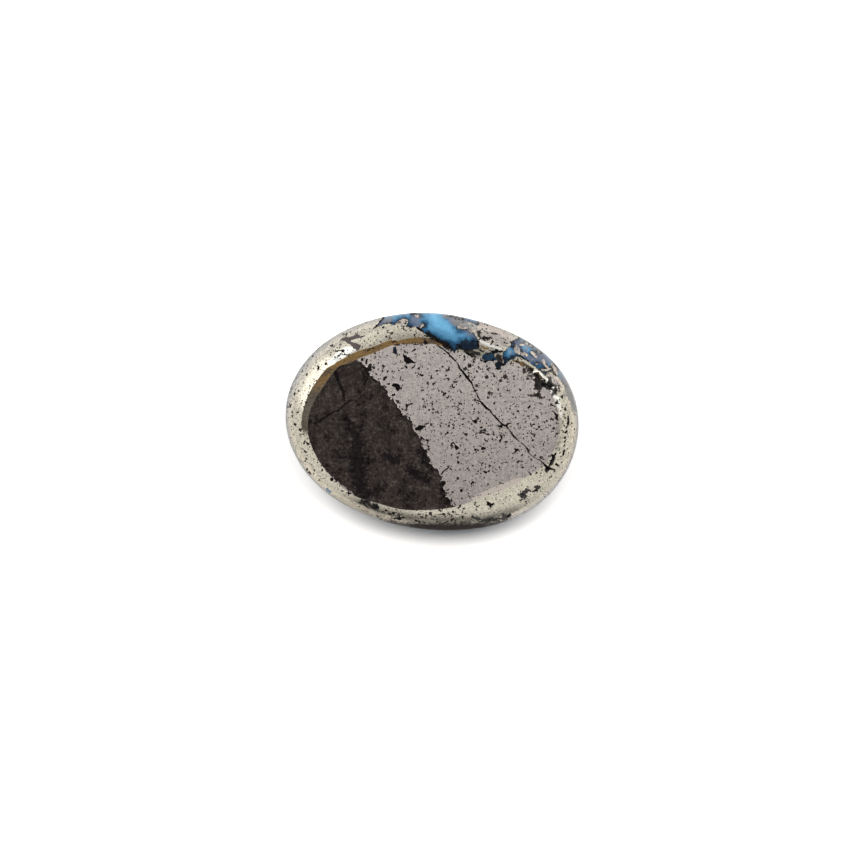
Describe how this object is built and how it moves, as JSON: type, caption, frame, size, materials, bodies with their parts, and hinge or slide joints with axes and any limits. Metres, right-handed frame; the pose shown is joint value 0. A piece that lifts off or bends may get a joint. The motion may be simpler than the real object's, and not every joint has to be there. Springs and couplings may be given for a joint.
{
  "type": "persian turquoise cabochon",
  "caption": "Polished oval turquoise cabochon in pyrite and dark host rock, lying on its dome with its flat cracked back up.",
  "frame": {"origin": "under the middle of the stone, on the surface that it lies on", "axes": "+X along the stone's long axis, +Y across it, +Z out of the flat back, upwards"},
  "size_m": [0.0238, 0.0178, 0.0063],
  "materials": {
    "stone": "polished pyrite with satin back, dull dark rock and glossy blue turquoise"
  },
  "bodies": {
    "root": {"turquoise_cabochon": "stone"}
  },
  "joints": []
}
